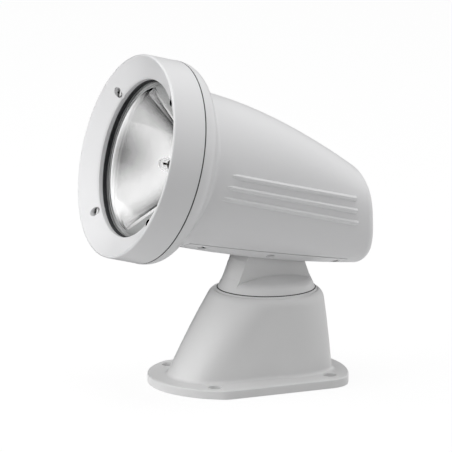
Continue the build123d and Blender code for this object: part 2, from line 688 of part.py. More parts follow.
SECTOR_FACE = tilt_plane(GEAR_X + GEAR_T + SEAT_FIT)
save(screws(Plane(origin=SECTOR_FACE.origin, x_dir=SECTOR_FACE.x_dir, z_dir=-SECTOR_FACE.z_dir),
            [(x, -y) for x, y in SECTOR_SPOTS], SECTOR_HEAD_R, SCREW_HEAD_T, SECTOR_SHANK_R - SEAT_FIT,
            GEAR_X + GEAR_T - SECTOR_SCREW_END), "sector_screws")

# Lamp housing

def cover_spots(only=COVER_SCREW_B):
    """Centres of the bottom cover's screws, as (across, back) pairs."""
    return [(way * (half_width_at(b, seam_h(b)) - COVER_SCREW_IN), b) for b in only for way in (-1, 1)]


def bezel_spots():
    """Centres of the bezel screws on a plane across the lamp axis."""
    turns = [radians(BEZEL_SCREW_TURN + 90 * i) for i in range(4)]
    return [(BEZEL_SCREW_R * cos(a), BEZEL_SCREW_R * sin(a)) for a in turns]


REAR_PLANE = Plane(
    origin=LAMP.origin + LAMP.z_dir * REAR_FACE_B + LAMP.y_dir * REAR_FACE_H, x_dir=(1, 0, 0),
    z_dir=LAMP.z_dir * cos(radians(REAR_LEAN)) + LAMP.y_dir * sin(radians(REAR_LEAN)))
STATIONS = [BODY_B + (BODY_END_B + BODY_OVERRUN - BODY_B) * i / BODY_SPANS for i in range(BODY_SPANS + 1)]

with BuildPart() as body_form:
    loft([body_section(b) for b in STATIONS])
    split(bisect_by=REAR_PLANE, keep=Keep.BOTTOM)
    fillet(body_form.faces().sort_by(LAMP_AXIS)[-1].edges(), REAR_FILLET)

with BuildPart() as head_cavity:
    loft([body_section(b, HEAD_WALL) for b in STATIONS])
    split(bisect_by=REAR_PLANE.offset(-HEAD_WALL), keep=Keep.BOTTOM)
    fillet(head_cavity.faces().sort_by(LAMP_AXIS)[-1].edges(), REAR_FILLET - HEAD_WALL)
    extrude(rounds(deck(BRIDGE_H + FRAME_T + SEAT_FIT), [(x, b) for x in (-POST_X, POST_X) for b in POST_B],
                   POST_R), amount=BODY_R, mode=Mode.SUBTRACT)
    with BuildSketch(side()):
        with BuildLine():
            Polyline((SEAT_B + SEAT_T, 0), (SEAT_B + SEAT_T, FLARE_HOLLOW_R),
                     (FLARE_HOLLOW_B, FLARE_HOLLOW_R), (FLARE_NECK_B, BODY_R - FLARE_SUNK),
                     (FLARE_TAIL_B, BODY_R - HEAD_WALL - FLARE_SUNK), (FLARE_TAIL_B, 0), close=True)
        make_face()
    revolve(axis=LAMP_AXIS)
    extrude(rounds(LAMP.offset(SEAT_B), bezel_spots(), HEAD_BOSS_R), amount=HEAD_BOSS_L, mode=Mode.SUBTRACT)
    for b in COVER_SCREW_B:
        extrude(rounds(deck(seam_h(b) - BOSS_OVERLAP), cover_spots([b]), COVER_BOSS_R),
                amount=COVER_BOSS_L + BOSS_OVERLAP, mode=Mode.SUBTRACT)

with BuildPart() as head_shell:
    add(body_form.part)
    with BuildSketch(side()):
        with BuildLine():
            Polyline((FLARE_TAIL_B, 0), (SEAT_B, 0), (SEAT_B, SKIRT_R - SKIRT_GAP),
                     (BEZEL_B + SEAL_T, SKIRT_R - SKIRT_GAP), (BEZEL_B + SEAL_T, RIM_R + FLARE_PROUD))
            Spline((BEZEL_B + SEAL_T, RIM_R + FLARE_PROUD), *FLARE_OUTLINE,
                   (FLARE_TAIL_B, BODY_R - FLARE_SUNK), tangents=((1, FLARE_START), (1, FLARE_TAIL)))
            Line((FLARE_TAIL_B, BODY_R - FLARE_SUNK), (FLARE_TAIL_B, 0))
        make_face()
    revolve(axis=LAMP_AXIS)
    add(head_cavity.part, mode=Mode.SUBTRACT)
    extrude(rounds(LAMP.offset(SEAT_B - EPS), [(0, 0)], SEAT_R), amount=SEAT_T + 2 * EPS, mode=Mode.SUBTRACT)
    extrude(rounds(LAMP.offset(SEAT_B - EPS), bezel_spots(), SCREW_R),
            amount=HEAD_BOSS_L - 1, mode=Mode.SUBTRACT)
    extrude(cover_zone(COVER_GAP), amount=2 * RIM_R, both=True, mode=Mode.SUBTRACT)
    for b in COVER_SCREW_B:
        extrude(rounds(deck(seam_h(b) - BOSS_OVERLAP), cover_spots([b]), SCREW_R),
                amount=COVER_BOSS_L + BOSS_OVERLAP - 1, mode=Mode.SUBTRACT)
    for x in (-POST_X, POST_X):
        extrude(rounds(deck(BRIDGE_H), [(x, b) for b in POST_B], SCREW_R), amount=POST_HOLE_L,
                mode=Mode.SUBTRACT)


def rib(top, front, rear):
    """Moulded side rib and its twin: the outer edge follows the flank and rises from it at the front."""
    mid = top - RIB_H / 2
    start = front + RIB_RAMP
    crest = [(half_width_at(b, mid) + RIB_PROUD, b)
             for b in (start + (rear - start) * i / RIB_SPANS for i in range(RIB_SPANS + 1))]
    tip = (half_width_at(front, mid) - RIB_SUNK, front)
    with BuildPart() as bar:
        with BuildSketch(deck(top - RIB_H)):
            with BuildLine():
                Line(tip, crest[0])
                Spline(*crest)
                Polyline(crest[-1], (crest[-1][0] - RIB_ROOT, rear), (tip[0] - RIB_ROOT, front), tip)
            make_face()
        extrude(amount=RIB_H)
        outer = bar.faces().filter_by(lambda face: face.normal_at().X > 0.5)
        chamfer(outer.edges().filter_by(lambda edge: edge.length > RIB_H + 1), RIB_CHAMFER)
        mirror(about=Plane.YZ)
    return bar.part


with BuildPart() as ribs:
    for top, front, rear in zip(RIB_TOPS, RIB_FRONTS, RIB_REARS):
        add(rib(top, front, rear))

with BuildPart() as finished_shell:
    add(head_shell.part)
    add(ribs.part)
    add(head_cavity.part, mode=Mode.SUBTRACT)
save(finished_shell.part, "head_shell")

with BuildPart() as bottom_cover:
    add(body_form.part)
    extrude(cover_zone(), amount=2 * RIM_R, both=True, mode=Mode.INTERSECT)
    slot_b0 = blade_reach(-1, HEAD_TILT - TILT_DOWN) - MOVE_GAP
    slot_b1 = blade_reach(1, HEAD_TILT + TILT_UP) + MOVE_GAP
    with BuildSketch(deck(-2 * BODY_R)):
        with Locations((0, (slot_b0 + slot_b1) / 2)):
            RectangleRounded(BLADE_T + 2 * SLOT_SIDE, slot_b1 - slot_b0, SLOT_CORNER_R)
    extrude(amount=4 * BODY_R, mode=Mode.SUBTRACT)
    for b in COVER_SCREW_B:
        extrude(rounds(deck(-2 * BODY_R), cover_spots([b]), SCREW_R + SCREW_CLEAR), amount=4 * BODY_R,
                mode=Mode.SUBTRACT)
        extrude(rounds(deck(seam_h(b) - CAP_T), cover_spots([b]), SCREW_HEAD_R + 2 * SCREW_CLEAR),
                amount=-BODY_R, mode=Mode.SUBTRACT)
save(bottom_cover.part, "bottom_cover")

with BuildPart() as cover_screws:
    for b in COVER_SCREW_B:
        add(screws(deck(seam_h(b) - CAP_T - SEAT_FIT), cover_spots([b]), SCREW_HEAD_R, SCREW_HEAD_T,
                   SCREW_R - SEAT_FIT, COVER_BOSS_L - 1, SCREW_HEAD_R / 2))
save(cover_screws.part, "cover_screws")

# Bezel: a dished ring with a hidden skirt that slips over the housing's seat, and four screw bosses
with BuildPart() as bezel_bosses:
    extrude(rounds(LAMP, bezel_spots(), BEZEL_BOSS_R), amount=BOSS_END_B)
    revolve(profile(side(), (-2 * RIM_AHEAD, 0), (-2 * RIM_AHEAD, RIM_R),
                    (EPS - RIM_AHEAD, RIM_R - RIM_ROUND), (LIP_B - LIP_EDGE + EPS, LIP_R + LIP_EDGE),
                    (LIP_B + EPS, LIP_R), (LIP_B + EPS, 0)),
            axis=LAMP_AXIS, mode=Mode.SUBTRACT)

with BuildPart() as bezel:
    with BuildSketch(side()):
        with BuildLine():
            Polyline((-RIM_AHEAD, RIM_R - RIM_ROUND), (LIP_B - LIP_EDGE, LIP_R + LIP_EDGE), (LIP_B, LIP_R),
                     (GASKET_B, LIP_R),
                     (GASKET_B, GASKET_OUT_R + SEAT_FIT), (BOSS_END_B, GASKET_OUT_R + SEAT_FIT),
                     (BOSS_END_B, GASKET_OUT_R + SEAT_WALL), (LIP_B + BEZEL_FACE_T, GASKET_OUT_R + SEAT_WALL),
                     (BEZEL_FACE_T - RIM_AHEAD, SKIRT_R), (BEZEL_B, SKIRT_R),
                     (BEZEL_B, RIM_R), (RIM_ROUND - RIM_AHEAD, RIM_R))
            ThreePointArc((RIM_ROUND - RIM_AHEAD, RIM_R),
                          (ARC_MID * RIM_ROUND - RIM_AHEAD, RIM_R - ARC_MID * RIM_ROUND),
                          (-RIM_AHEAD, RIM_R - RIM_ROUND))
        make_face()
    revolve(axis=LAMP_AXIS)
    add(bezel_bosses.part)
    extrude(rounds(LAMP.offset(GASKET_B), [(0, 0)], GASKET_OUT_R + SEAT_FIT), amount=BEZEL_B,
            mode=Mode.SUBTRACT)
    extrude(rounds(LAMP.offset(-RIM_AHEAD), bezel_spots(), BEZEL_HEAD_R + SCREW_CLEAR),
            amount=HEAD_SEAT_B + RIM_AHEAD, mode=Mode.SUBTRACT)
    extrude(rounds(LAMP, bezel_spots(), SCREW_R + SCREW_CLEAR), amount=BEZEL_B, mode=Mode.SUBTRACT)
save(bezel.part, "bezel")

save(screws(LAMP.offset(HEAD_SEAT_B - SEAT_FIT), bezel_spots(), BEZEL_HEAD_R, BEZEL_HEAD_T,
            SCREW_R - SEAT_FIT, SEAT_B + COVER_BOSS_L - HEAD_SEAT_B, BEZEL_DRIVE_R), "bezel_screws")

with BuildPart() as bezel_seal:
    extrude(ring(LAMP.offset(BEZEL_B + SEAT_FIT), RIM_R - SEAL_LIP, SKIRT_R - SEAL_LIP),
            amount=SEAL_T - 2 * SEAT_FIT)
save(bezel_seal.part, "bezel_seal")

# Lens, in an angle gasket
with BuildPart() as lens_gasket:
    revolve(profile(side(), (GASKET_B + SEAT_FIT, GASKET_IN_R), (LENS_B - SEAT_FIT, GASKET_IN_R),
                    (LENS_B - SEAT_FIT, LENS_R + SEAT_FIT), (GASKET_END_B, LENS_R + SEAT_FIT),
                    (GASKET_END_B, GASKET_OUT_R), (GASKET_B + SEAT_FIT, GASKET_OUT_R)), axis=LAMP_AXIS)
save(lens_gasket.part, "lens_gasket")

with BuildPart() as lens_glass:
    extrude(rounds(LAMP.offset(LENS_B), [(0, 0)], LENS_R), amount=LENS_T)
    chamfer(lens_glass.edges(), LENS_CHAMFER)
save(lens_glass.part, "lens_glass")

# Reflector: a parabolic bowl whose mouth has four straight edges, under a flat flange


def bowl(shift=0.0):
    """Space inside the reflector's parabola, moved back by shift: a cubic curve is exact for it."""
    mouth_b = APEX_B - MOUTH_R ** 2 / (4 * FOCAL) + shift
    apex = APEX_B + shift
    with BuildSketch(side()) as face:
        with BuildLine():
            Bezier((apex, 0), (apex, MOUTH_R / 2), (mouth_b, MOUTH_R))
            Polyline((mouth_b, MOUTH_R), (GASKET_B, MOUTH_R), (GASKET_B, 0), (apex, 0))
        make_face()
    with BuildPart() as inside:
        revolve(face.sketch, axis=LAMP_AXIS)
    return inside.part


def chord_cut(plane, deep):
    """What lies inside the mouth's four straight edges."""
    with BuildPart() as inside:
        with BuildSketch(plane):
            Circle(MOUTH_R + EPS)
            for turn in (CHORD_TURN, -CHORD_TURN, 180 - CHORD_TURN, CHORD_TURN - 180):
                with Locations(Pos(CHORD * cos(radians(turn)), CHORD * sin(radians(turn))) * Rot(0, 0, turn)):
                    Rectangle(MOUTH_R, 2 * MOUTH_R, align=(Align.MIN, Align.CENTER), mode=Mode.SUBTRACT)
        extrude(amount=deep)
    return inside.part


with BuildPart() as mirror_hollow:
    add(bowl())
    add(chord_cut(LAMP.offset(GASKET_END_B - 1), APEX_B), mode=Mode.INTERSECT)

with BuildPart() as reflector:
    add(bowl(MIRROR_WALL))
    extrude(rounds(LAMP.offset(GASKET_END_B + SEAT_FIT), [(0, 0)], MIRROR_FLANGE_R), amount=MIRROR_FLANGE_T)
    add(mirror_hollow.part, mode=Mode.SUBTRACT)
    extrude(rounds(LAMP.offset(APEX_B - COLLAR_ROOT), [(0, 0)], BULB_COLLAR_R),
            amount=BULB_COLLAR_L + COLLAR_ROOT)
    add(mirror_hollow.part, mode=Mode.SUBTRACT)
    extrude(rounds(LAMP.offset(GASKET_END_B), [(0, 0)], BULB_HOLE_R + SEAT_FIT), amount=APEX_B,
            mode=Mode.SUBTRACT)
    split(bisect_by=LAMP.offset(GASKET_END_B + SEAT_FIT), keep=Keep.TOP)
save(reflector.part, "reflector")

# Halogen bulb with its ceramic base and the wire clip that holds it
BASE_B = APEX_B + BULB_COLLAR_L + SEAT_FIT
BULB_FOOT_B = APEX_B - BASE_PROUD - SEAT_FIT
with BuildPart() as bulb_base:
    extrude(rounds(LAMP.offset(BASE_B), [(0, 0)], BULB_FLANGE_R), amount=BULB_FLANGE_T)
    extrude(rounds(LAMP.offset(APEX_B - BASE_PROUD), [(0, 0)], BULB_HOLE_R - BASE_FIT),
            amount=BASE_B - APEX_B + BASE_PROUD)
    extrude(rounds(LAMP.offset(BASE_B), [(0, 0)], BULB_REAR_R), amount=BULB_REAR_L)
save(bulb_base.part, "bulb_base")


def capsule(inset):
    """Round-ended rod along the lamp axis that stands forward from the bulb's base."""
    with BuildPart() as rod:
        extrude(rounds(LAMP.offset(BULB_FOOT_B), [(0, 0)], BULB_GLASS_R - inset), amount=inset - BULB_GLASS_L)
        fillet(rod.edges().sort_by(LAMP_AXIS)[0], BULB_GLASS_R - inset - TIP_FLAT)
    return rod.part


with BuildPart() as bulb_glass:
    add(capsule(0))
    add(capsule(GLASS_WALL), mode=Mode.SUBTRACT)
save(bulb_glass.part, "bulb_glass")

COIL_B = APEX_B - FOCAL
with BuildPart() as bulb_filament:
    extrude(rounds(tilt_plane(-COIL_L / 2, COIL_B, 0), [(0, 0)], COIL_R), amount=COIL_L)
    extrude(rounds(LAMP.offset(COIL_B), [(x, 0) for x in (COIL_R - COIL_L / 2, COIL_L / 2 - COIL_R)],
                   POST_WIRE_R), amount=BULB_FOOT_B - COIL_B)
save(bulb_filament.part, "bulb_filament")

with BuildPart() as bulb_clip:
    with BuildSketch(side()):
        with Locations((BASE_B + BULB_FLANGE_T + SEAT_FIT + CLIP_WIRE_R, CLIP_R)):
            Circle(CLIP_WIRE_R)
    revolve(axis=LAMP_AXIS, revolution_arc=CLIP_ARC)
save(bulb_clip.part, "bulb_clip")

# Tilt frame: a bridge screwed under four posts, with a cheek each side of the blade
with BuildPart() as tilt_frame:
    with BuildSketch(deck(BRIDGE_H)):
        with Locations((0, (BRIDGE_B0 + BRIDGE_B1) / 2)):
            Rectangle(2 * (CHEEK_X + FRAME_T), BRIDGE_B1 - BRIDGE_B0)
    extrude(amount=FRAME_T)
    for x in (-CHEEK_X - FRAME_T, CHEEK_X):
        with BuildSketch(side(x)):
            with BuildLine():
                Polyline((BRIDGE_B0, BRIDGE_H + FRAME_T), (BRIDGE_B1, BRIDGE_H + FRAME_T),
                         (BRIDGE_B1, BRIDGE_H - CHEEK_EDGE), (TILT_B + CHEEK_LOW_R, TILT_H),
                         (TILT_B - CHEEK_LOW_R, TILT_H), (BRIDGE_B0, BRIDGE_H - CHEEK_EDGE), close=True)
            make_face()
            with Locations((TILT_B, TILT_H)):
                Circle(CHEEK_LOW_R)
                Circle(BUSH_R, mode=Mode.SUBTRACT)
        extrude(amount=FRAME_T)
    with BuildSketch(side(MOTOR_FACE_X)):
        with BuildLine():
            Polyline((MOTOR_B - MOTOR_R, BRIDGE_H + FRAME_T), (BRIDGE_B1, BRIDGE_H + FRAME_T),
                     (BRIDGE_B1, MOTOR_H), (MOTOR_B, MOTOR_H - MOTOR_R), (MOTOR_B - MOTOR_R, MOTOR_H),
                     close=True)
        make_face()
        with Locations((MOTOR_B, MOTOR_H)):
            Circle(SHAFT_R + SHAFT_CLEAR, mode=Mode.SUBTRACT)
    extrude(amount=FRAME_T)
    extrude(rounds(deck(BRIDGE_H - EPS), [(x, b) for x in (-POST_X, POST_X) for b in POST_B],
                   SCREW_R + SCREW_CLEAR), amount=FRAME_T + 2 * EPS, mode=Mode.SUBTRACT)
save(tilt_frame.part, "tilt_frame")

save(screws(deck(BRIDGE_H - SEAT_FIT), [(x, b) for x in (-POST_X, POST_X) for b in POST_B], SCREW_HEAD_R,
            SCREW_HEAD_T, SCREW_R - SEAT_FIT, POST_HOLE_L - 1, SCREW_HEAD_R / 2), "frame_screws")

with BuildPart() as tilt_bushes:
    for way in (-1, 1):
        x = way * (CHEEK_X + FRAME_T / 2)
        inner = tilt_plane(x - FRAME_T / 2 - TILT_BUSH_PROUD)
        extrude(rounds(inner, [(0, 0)], BUSH_R - SEAT_FIT), amount=FRAME_T + 2 * TILT_BUSH_PROUD)
        extrude(rounds(tilt_plane(x + way * (FRAME_T / 2 + SEAT_FIT)), [(0, 0)], TILT_BUSH_FLANGE_R),
                amount=way * TILT_BUSH_FLANGE_T)
    extrude(rounds(tilt_plane(-AXLE_L), [(0, 0)], AXLE_R + RUN_FIT), amount=2 * AXLE_L, mode=Mode.SUBTRACT)
save(tilt_bushes.part, "tilt_bushes")

with BuildPart() as tilt_motor:
    extrude(rounds(tilt_plane(MOTOR_FACE_X - SEAT_FIT, MOTOR_B, MOTOR_H), [(0, 0)], MOTOR_R), amount=-MOTOR_L)
    fillet(tilt_motor.edges().group_by(Axis.X)[0], MOTOR_EDGE_R)
    extrude(rounds(tilt_plane(MOTOR_FACE_X - MOTOR_L, MOTOR_B, MOTOR_H), [(0, 0)], MOTOR_BOSS_R),
            amount=-MOTOR_BOSS_L)
    extrude(rounds(tilt_plane(MOTOR_FACE_X - MOTOR_L / 2, MOTOR_B, MOTOR_H), [(0, 0)], SHAFT_R + RUN_FIT),
            amount=MOTOR_L, mode=Mode.SUBTRACT)
save(tilt_motor.part, "tilt_motor")

with BuildPart() as tilt_pinion:
    extrude(gear(tilt_plane(GEAR_X, MOTOR_B, MOTOR_H), TILT_PINION_TEETH, TILT_MODULE,
                 pinion_turn(DRIVE_TURN, SECTOR_TURN - 180 / TILT_TEETH * (SECTOR_TEETH - 1), TILT_TEETH,
                             TILT_PINION_TEETH), SHAFT_R / 2), amount=GEAR_T)
    extrude(rounds(tilt_plane(MOTOR_FACE_X - MOTOR_L / 2 + 1, MOTOR_B, MOTOR_H), [(0, 0)], SHAFT_R),
            amount=GEAR_X + GEAR_T - MOTOR_FACE_X + MOTOR_L / 2)
save(tilt_pinion.part, "tilt_pinion")
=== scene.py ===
"""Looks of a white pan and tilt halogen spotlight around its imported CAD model, in metres."""

import json
import logging
import math
from dataclasses import dataclass, field
from enum import Enum

import bpy
from mathutils import Matrix, Vector

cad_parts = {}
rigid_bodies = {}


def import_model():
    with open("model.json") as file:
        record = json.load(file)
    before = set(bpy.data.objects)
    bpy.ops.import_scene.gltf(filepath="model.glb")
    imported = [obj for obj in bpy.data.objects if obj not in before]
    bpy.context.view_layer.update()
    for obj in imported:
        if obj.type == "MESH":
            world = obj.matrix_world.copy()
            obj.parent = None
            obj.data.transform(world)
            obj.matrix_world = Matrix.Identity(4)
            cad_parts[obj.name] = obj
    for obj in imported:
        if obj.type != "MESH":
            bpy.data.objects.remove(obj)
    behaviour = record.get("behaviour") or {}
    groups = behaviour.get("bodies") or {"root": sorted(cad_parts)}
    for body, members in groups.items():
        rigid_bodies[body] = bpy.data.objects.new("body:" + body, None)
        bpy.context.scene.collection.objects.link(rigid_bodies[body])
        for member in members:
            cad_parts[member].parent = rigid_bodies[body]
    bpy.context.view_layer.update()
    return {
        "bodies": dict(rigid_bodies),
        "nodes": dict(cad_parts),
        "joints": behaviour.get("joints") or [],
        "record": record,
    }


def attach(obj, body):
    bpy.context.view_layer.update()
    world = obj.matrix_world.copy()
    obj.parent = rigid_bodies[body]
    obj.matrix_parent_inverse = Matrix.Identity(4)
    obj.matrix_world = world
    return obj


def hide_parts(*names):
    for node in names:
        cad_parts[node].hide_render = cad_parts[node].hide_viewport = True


log = logging.getLogger("spotlight")

MM = 0.001
SIDE = Vector((1, 0, 0))
ROUND_STEPS = 160       # flats round a turned piece
MERGE = 2e-6            # corners closer than this, in metres, are one
CRISP_EDGE = 30.0       # degrees past which an edge stays sharp, on machined and pressed pieces
MOULDED_EDGE = 35.0     # the same on moulded pieces
SMALL_EDGE = 40.0       # the same on the small turned pieces in the bulb
FACING = 0.9            # cosine past which a face counts as facing a way
CLOUD_MM = 1000 / 28    # size of the slow change of tone and gloss over a piece
FILM_MM = 1000 / 35     # size of the slow change of polish over glass


def linear(colour: str) -> tuple[float, float, float, float]:
    """Turn an sRGB hex colour into linear light.

    Args:
        colour: six hex digits, such as "e8e9eb".

    Returns:
        Red, green, blue and an alpha of 1.
    """
    parts = [int(colour[i:i + 2], 16) / 255 for i in (0, 2, 4)]
    red, green, blue = (
        (c / 12.92) if c <= 0.04045 else ((c + 0.055) / 1.055) ** 2.4 for c in parts)
    return red, green, blue, 1.0


def add_node(tree: bpy.types.NodeTree, kind: str, settings: dict | None = None,
             values: dict | None = None, links: dict | None = None) -> bpy.types.Node:
    """Add one shader node.

    Args:
        tree: the node tree.
        kind: the node's type name.
        settings: attributes of the node.
        values: socket name or number to constant.
        links: socket name or number to the output socket that feeds it.

    Returns:
        The new node.
    """
    node = tree.nodes.new(kind)
    for name, value in (settings or {}).items():
        setattr(node, name, value)
    for key, value in (values or {}).items():
        node.inputs[key].default_value = value
    for key, source in (links or {}).items():
        tree.links.new(source, node.inputs[key])
    return node


def either(tree: bpy.types.NodeTree, path: bpy.types.Node, first: str,
           second: str) -> bpy.types.NodeSocket:
    """Join two kinds of ray.

    Args:
        tree: the node tree.
        path: its Light Path node.
        first: one output of that node.
        second: another output of it.

    Returns:
        A socket that is 1 for both kinds of ray and 0 for others.
    """
    return add_node(tree, "ShaderNodeMath", {"operation": "MAXIMUM"},
                    links={0: path.outputs[first], 1: path.outputs[second]}).outputs[0]


def fresh_material(name: str) -> tuple[bpy.types.Material, bpy.types.NodeTree]:
    """Make an empty node material.

    Args:
        name: the real material and process.

    Returns:
        The material and its emptied tree.
    """
    material = bpy.data.materials.new(name)
    material.use_nodes = True
    material.node_tree.nodes.clear()
    return material, material.node_tree


@dataclass(frozen=True)
class Finish:
    """A surface as its maker would name it, with the values that its shader starts from."""

    name: str
    colour: str
    roughness: float
    metallic: float = 0.0
    grain_mm: float = 0.6
    grain_depth: float = 0.02
    tone: float = 0.02
    rough_swing: float = 0.05
    stretch: tuple[float, float, float] = (1.0, 1.0, 1.0)

    def material(self) -> bpy.types.Material:
        """Build the shader: tone, gloss and grain vary a little, as the process leaves them.

        Returns:
            The material, made once and then reused.
        """
        made = bpy.data.materials.get(self.name)
        if made:
            return made
        material, tree = fresh_material(self.name)
        place = add_node(tree, "ShaderNodeTexCoord").outputs["Object"]
        turned = add_node(tree, "ShaderNodeMapping", values={"Scale": self.stretch},
                          links={"Vector": place})
        cloud = add_node(tree, "ShaderNodeTexNoise",
                         values={"Scale": 1 / (CLOUD_MM * MM), "Detail": 3.0},
                         links={"Vector": place})
        grain = add_node(tree, "ShaderNodeTexNoise",
                         values={"Scale": 1 / (self.grain_mm * MM), "Detail": 2.0},
                         links={"Vector": turned.outputs[0]})
        colour = linear(self.colour)
        low = tuple(c * (1 - self.tone) for c in colour[:3]) + (1.0,)
        high = tuple(min(1.0, c * (1 + self.tone)) for c in colour[:3]) + (1.0,)
        shade = add_node(tree, "ShaderNodeMix", {"data_type": "RGBA"}, {6: low, 7: high},
                         {0: cloud.outputs["Fac"]})
        gloss = add_node(tree, "ShaderNodeMapRange",
                         values={"To Min": max(0.0, self.roughness - self.rough_swing),
                                 "To Max": self.roughness + self.rough_swing},
                         links={"Value": cloud.outputs["Fac"]})
        bump = add_node(tree, "ShaderNodeBump",
                        values={"Strength": 1.0, "Distance": self.grain_depth * MM},
                        links={"Height": grain.outputs["Fac"]})
        shader = add_node(tree, "ShaderNodeBsdfPrincipled", values={"Metallic": self.metallic},
                          links={"Base Color": shade.outputs[2], "Roughness": gloss.outputs[0],
                                 "Normal": bump.outputs[0]})
        add_node(tree, "ShaderNodeOutputMaterial", links={"Surface": shader.outputs[0]})
        return material


@dataclass(frozen=True)
class ClearGlass:
    """Polished glass: it bends what lies behind it, and mirrors more and more at a slant."""

    name: str
    tint: str
    roughness: float = 0.004
    ior: float = 1.5
    passed: float = 0.92    # share of a lamp's light that comes through one face

    def material(self) -> bpy.types.Material:
        """Build the shader: a faint unevenness of the polish, and open to light from lamps.

        Returns:
            The material, made once and then reused.
        """
        made = bpy.data.materials.get(self.name)
        if made:
            return made
        material, tree = fresh_material(self.name)
        place = add_node(tree, "ShaderNodeTexCoord").outputs["Object"]
        film = add_node(tree, "ShaderNodeTexNoise",
                        values={"Scale": 1 / (FILM_MM * MM), "Detail": 3.0},
                        links={"Vector": place})
        gloss = add_node(tree, "ShaderNodeMapRange",
                         values={"To Min": 0.0, "To Max": 2 * self.roughness},
                         links={"Value": film.outputs["Fac"]})
        shader = add_node(tree, "ShaderNodeBsdfPrincipled",
                          values={"Base Color": linear(self.tint), "Transmission Weight": 1.0,
                                  "IOR": self.ior},
                          links={"Roughness": gloss.outputs[0]})
        path = add_node(tree, "ShaderNodeLightPath")
        lit = either(tree, path, "Is Shadow Ray", "Is Diffuse Ray")
        clear = add_node(tree, "ShaderNodeBsdfTransparent",
                         values={"Color": (self.passed, self.passed, self.passed, 1)})
        both = add_node(tree, "ShaderNodeMixShader",
                        links={0: lit, 1: shader.outputs[0], 2: clear.outputs[0]})
        add_node(tree, "ShaderNodeOutputMaterial", links={"Surface": both.outputs[0]})
        return material


class Surface(Enum):
    """Every finish on the lamp.

    A pixel of the render is about 0.8 mm wide, so the white plastic's grain is drawn at 0.9 mm,
    coarser than a mould's etching, to show at all.
    """

    # ASA from a fine etched mould: a clean white with a soft, wide sheen
    WHITE_ASA = Finish("white_asa_moulded", "e7e7e8", 0.36, grain_mm=0.9, grain_depth=0.006,
                       tone=0.012)
    # The same plastic on the parts that carry the lamp: a shade greyer and more matt
    PEDESTAL_ASA = Finish("white_asa_pedestal_moulded", "e3e3e3", 0.42, grain_mm=0.9,
                          grain_depth=0.008, tone=0.015)
    # Moulded EPDM: nearly black, dull, with an uneven bloom
    RUBBER = Finish("epdm_rubber_moulded", "232426", 0.62, grain_depth=0.02, tone=0.08)
    # Cold-headed stainless steel: neutral grey with a bright, slightly soft reflection
    STEEL = Finish("stainless_steel_cold_headed", "c3c3c3", 0.28, metallic=1.0, grain_mm=0.3,
                   grain_depth=0.004)
    # Dark steel in a screw's drive and round its head: painted shade of the recess and the gap
    STEEL_DULL = Finish("stainless_steel_pickled", "4a4a49", 0.5, metallic=1.0, grain_mm=0.3,
                        grain_depth=0.01)
    # Aluminium film on a pressed bowl: a sharp mirror, made a little wavy by the pressing
    MIRROR = Finish("aluminium_vacuum_metallised", "f2f2f2", 0.014, metallic=1.0, grain_mm=9.0,
                    grain_depth=0.02, rough_swing=0.008)
    # Lacquered aluminium sheet: a pale satin flange that mirrors nothing clearly
    MIRROR_RIM = Finish("aluminium_sheet_lacquered", "dfe0e0", 0.45, grain_mm=2.0,
                        grain_depth=0.004)
    # Machined acetal: a warm, milky white with a soft sheen
    ACETAL = Finish("acetal_machined", "dedcd4", 0.45, grain_depth=0.01)
    # Zinc on a drawn steel can: a cool, satin mid grey
    ZINC = Finish("zinc_plated_steel_drawn", "8f9295", 0.4, metallic=1.0, grain_depth=0.01)
    # Pressed aluminium sheet: light grey, with the rolling direction drawn out along it
    SHEET = Finish("aluminium_sheet_pressed", "b4b6b8", 0.35, metallic=1.0, grain_depth=0.01,
                   stretch=(1.0, 0.08, 1.0))
    # Fired steatite: a matt cream with a dry, fine grain
    STEATITE = Finish("steatite_ceramic_fired", "e0dccf", 0.55, grain_mm=0.4, grain_depth=0.03)
    # Drawn tungsten wire: dark grey with a dull shine
    TUNGSTEN = Finish("tungsten_wire_drawn", "55524e", 0.35, metallic=1.0, grain_depth=0.004)
    # Pressed molybdenum sheet: a dark cup, a little lighter than the wire before it
    MOLYBDENUM = Finish("molybdenum_sheet_pressed", "6f6d6b", 0.4, metallic=1.0,
                        grain_depth=0.004)
    # Tempered float glass: clear and without a tint
    LENS = ClearGlass("float_glass_tempered", "fbfbfb")
    # Drawn quartz glass: clear, seen by its edges
    QUARTZ = ClearGlass("quartz_glass_drawn", "fafafa")


def deselect_all() -> None:
    """Clear the selection, so that an operator acts only on what is picked next."""
    for thing in bpy.context.selected_objects:
        thing.select_set(False)


def pick(thing: bpy.types.Object) -> None:
    """Select one piece alone and make it active.

    Args:
        thing: the piece.
    """
    deselect_all()
    bpy.context.view_layer.objects.active = thing
    thing.select_set(True)


def lathe(name: str, outline: list[tuple[float, float]], origin: Vector, along: Vector,
          out: Vector, steps: int = ROUND_STEPS) -> bpy.types.Object:
    """Turn a closed outline round an axis.

    Args:
        name: the piece's name.
        outline: radius and way along the axis of each corner, in millimetres.
        origin: a point of the axis from which the way is counted, in metres.
        along: the axis' direction.
        out: the direction in which the radius is drawn, square to the axis.
        steps: flats round the axis.

    Returns:
        The piece, at the origin of the scene.
    """
    deselect_all()
    bpy.ops.mesh.primitive_circle_add(vertices=len(outline), radius=MM)
    thing = bpy.context.object
    thing.name = name
    for corner, (radius, way) in zip(thing.data.vertices, outline):
        corner.co = origin + out * (radius * MM) + along * (way * MM)
    bpy.ops.object.mode_set(mode="EDIT")
    bpy.ops.mesh.select_all(action="SELECT")
    bpy.ops.mesh.spin(steps=steps, angle=2 * math.pi, center=origin, axis=along)
    bpy.ops.mesh.select_all(action="SELECT")
    bpy.ops.mesh.remove_doubles(threshold=MERGE)
    bpy.ops.mesh.normals_make_consistent(inside=False)
    bpy.ops.object.mode_set(mode="OBJECT")
    return thing


